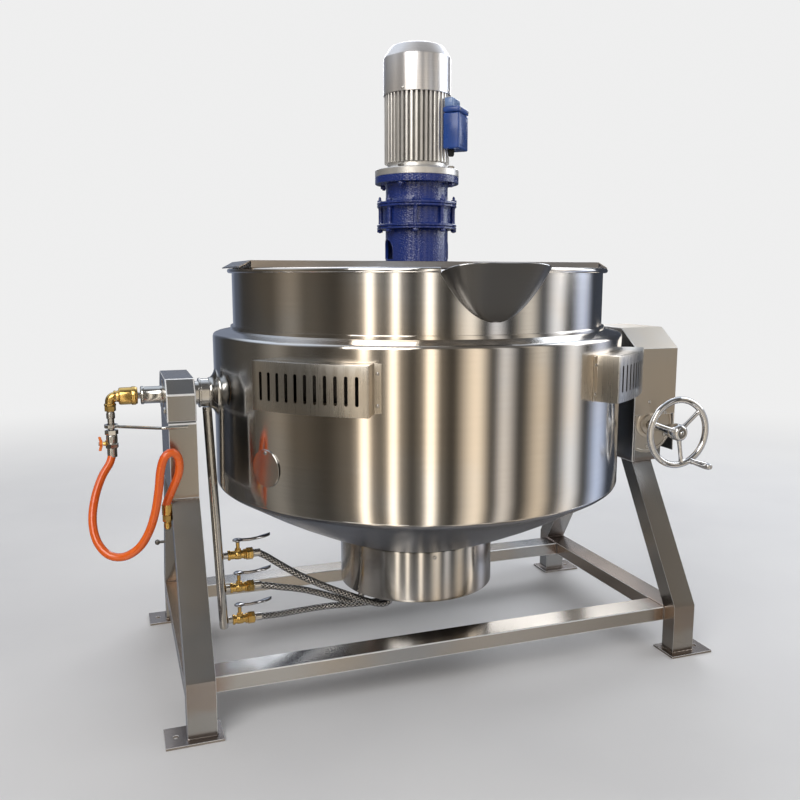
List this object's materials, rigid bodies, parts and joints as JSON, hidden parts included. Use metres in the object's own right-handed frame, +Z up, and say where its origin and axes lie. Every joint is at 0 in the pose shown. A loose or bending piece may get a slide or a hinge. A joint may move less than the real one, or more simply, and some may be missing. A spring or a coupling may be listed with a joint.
{
  "type": "tilting jacketed kettle",
  "caption": "Tilting jacketed cooking kettle with gas burner, worm and handwheel tilt, bridge-mounted anchor stirrer drive, pouring spout and a four-legged stand.",
  "frame": {"origin": "floor level, below the middle of the footprint without the hoses", "axes": "+Z up; +X from the gas side towards the handwheel side, along the tilting axis; +Y from the pouring spout to the rear"},
  "size_m": [1.638, 1.1198, 1.646],
  "materials": {
    "frame_steel": "brushed stainless box section, satin",
    "sheet_steel": "brushed stainless sheet, satin",
    "pot_steel": "fine brushed stainless, half bright",
    "pipe_steel": "turned stainless",
    "chrome": "polished",
    "brass": "turned, bright",
    "bronze": "cast and machined",
    "burner_iron": "dark cast",
    "orange_paint": "gloss",
    "orange_hose": "smooth, half gloss",
    "braided_hose": "covered in dark wire braid",
    "blue_paint": "hammered enamel",
    "motor_aluminium": "silver paint on cast aluminium"
  },
  "bodies": {
    "stand": {"leg_front_left": "frame_steel", "leg_rear_left": "frame_steel", "leg_front_right": "frame_steel", "leg_rear_right": "frame_steel", "rail_left": "frame_steel", "rail_right": "frame_steel", "rail_front": "frame_steel", "rail_rear": "frame_steel", "left_column": "frame_steel", "left_bearing_housing": "frame_steel", "left_bush": "bronze", "right_bush": "bronze", "right_bearing_plate": "frame_steel", "gear_head": "frame_steel", "worm_bearing": "frame_steel", "gear_cover": "sheet_steel", "gas_union": "brass", "gas_riser": "brass", "gas_bracket": "sheet_steel", "gas_cock_body": "brass", "gas_supply_fitting": "pipe_steel", "gas_hose": "orange_hose"},
    "kettle": {"inner_pot": "pot_steel", "jacket_vessel": "pot_steel", "outer_casing": "sheet_steel", "burner_housing": "sheet_steel", "burner_rings": "burner_iron", "pour_spout": "pot_steel", "bridge": "sheet_steel", "vent_front_left": "sheet_steel", "vent_front_right": "sheet_steel", "vent_rear_left": "sheet_steel", "vent_rear_right": "sheet_steel", "port_screw": "pipe_steel", "left_trunnion": "pipe_steel", "right_trunnion": "pipe_steel", "worm_wheel": "bronze", "gas_manifold": "pipe_steel", "gas_valve_1": "brass", "gas_valve_2": "brass", "gas_valve_3": "brass", "burner_hose_1": "braided_hose", "burner_hose_2": "braided_hose", "burner_hose_3": "braided_hose", "drive_lantern": "blue_paint", "reducer_housing": "blue_paint", "motor_body": "motor_aluminium", "fan_cover": "motor_aluminium", "terminal_box": "blue_paint"},
    "tilt_handwheel": {"handwheel": "chrome", "worm_shaft": "pipe_steel"},
    "wheel_grip": {"handwheel_grip": "chrome"},
    "stirrer": {"stirrer_shaft": "pot_steel", "stirrer_anchor": "pot_steel"},
    "rotor": {"motor_rotor": "pipe_steel"},
    "lever_1": {"valve_lever_1": "chrome"},
    "lever_2": {"valve_lever_2": "chrome"},
    "lever_3": {"valve_lever_3": "chrome"},
    "cock_handle": {"gas_cock_handle": "orange_paint"},
    "sight_cover": {"port_cover": "sheet_steel"}
  },
  "joints": [
    {"name": "kettle_tilt", "type": "hinge", "parent": "stand", "child": "kettle", "pos_m": [0.04365, 0.00589, 0.742], "axis": [1, 0, 0], "range_deg": [0, 90]},
    {"name": "handwheel_turn", "type": "hinge", "parent": "stand", "child": "tilt_handwheel", "pos_m": [0.70365, 0.00589, 0.612], "axis": [0, -1, 0], "range_deg": [0, 3600]},
    {"name": "grip_spin", "type": "hinge", "parent": "tilt_handwheel", "child": "wheel_grip", "pos_m": [0.7435, -0.2941, 0.5302], "axis": [0, -1, 0], "continuous": true},
    {"name": "stirrer_turn", "type": "hinge", "parent": "kettle", "child": "stirrer", "pos_m": [0.04365, 0.00589, 0.446], "axis": [0, 0, 1], "continuous": true},
    {"name": "rotor_turn", "type": "hinge", "parent": "kettle", "child": "rotor", "pos_m": [0.04365, 0.00589, 1.352], "axis": [0, 0, 1], "continuous": true},
    {"name": "lever_1_turn", "type": "hinge", "parent": "kettle", "child": "lever_1", "pos_m": [-0.46635, 0.00589, 0.33], "axis": [0, 0, -1], "range_deg": [0, 90]},
    {"name": "lever_2_turn", "type": "hinge", "parent": "kettle", "child": "lever_2", "pos_m": [-0.46635, 0.00589, 0.238], "axis": [0, 0, -1], "range_deg": [0, 90]},
    {"name": "lever_3_turn", "type": "hinge", "parent": "kettle", "child": "lever_3", "pos_m": [-0.46635, 0.00589, 0.148], "axis": [0, 0, -1], "range_deg": [0, 90]},
    {"name": "cock_turn", "type": "hinge", "parent": "stand", "child": "cock_handle", "pos_m": [-0.79235, 0.00589, 0.624], "axis": [1, 0, 0], "range_deg": [0, 90]},
    {"name": "sight_cover_swing", "type": "hinge", "parent": "kettle", "child": "sight_cover", "pos_m": [-0.4337, -0.2753, 0.632], "axis": [-0.8616, -0.5075, 0], "range_deg": [-100, 100]}
  ],
  "couplings": [
    {"joint": "handwheel_turn", "follows": "kettle_tilt", "ratio": 40},
    {"joint": "rotor_turn", "follows": "stirrer_turn", "ratio": -35}
  ]
}
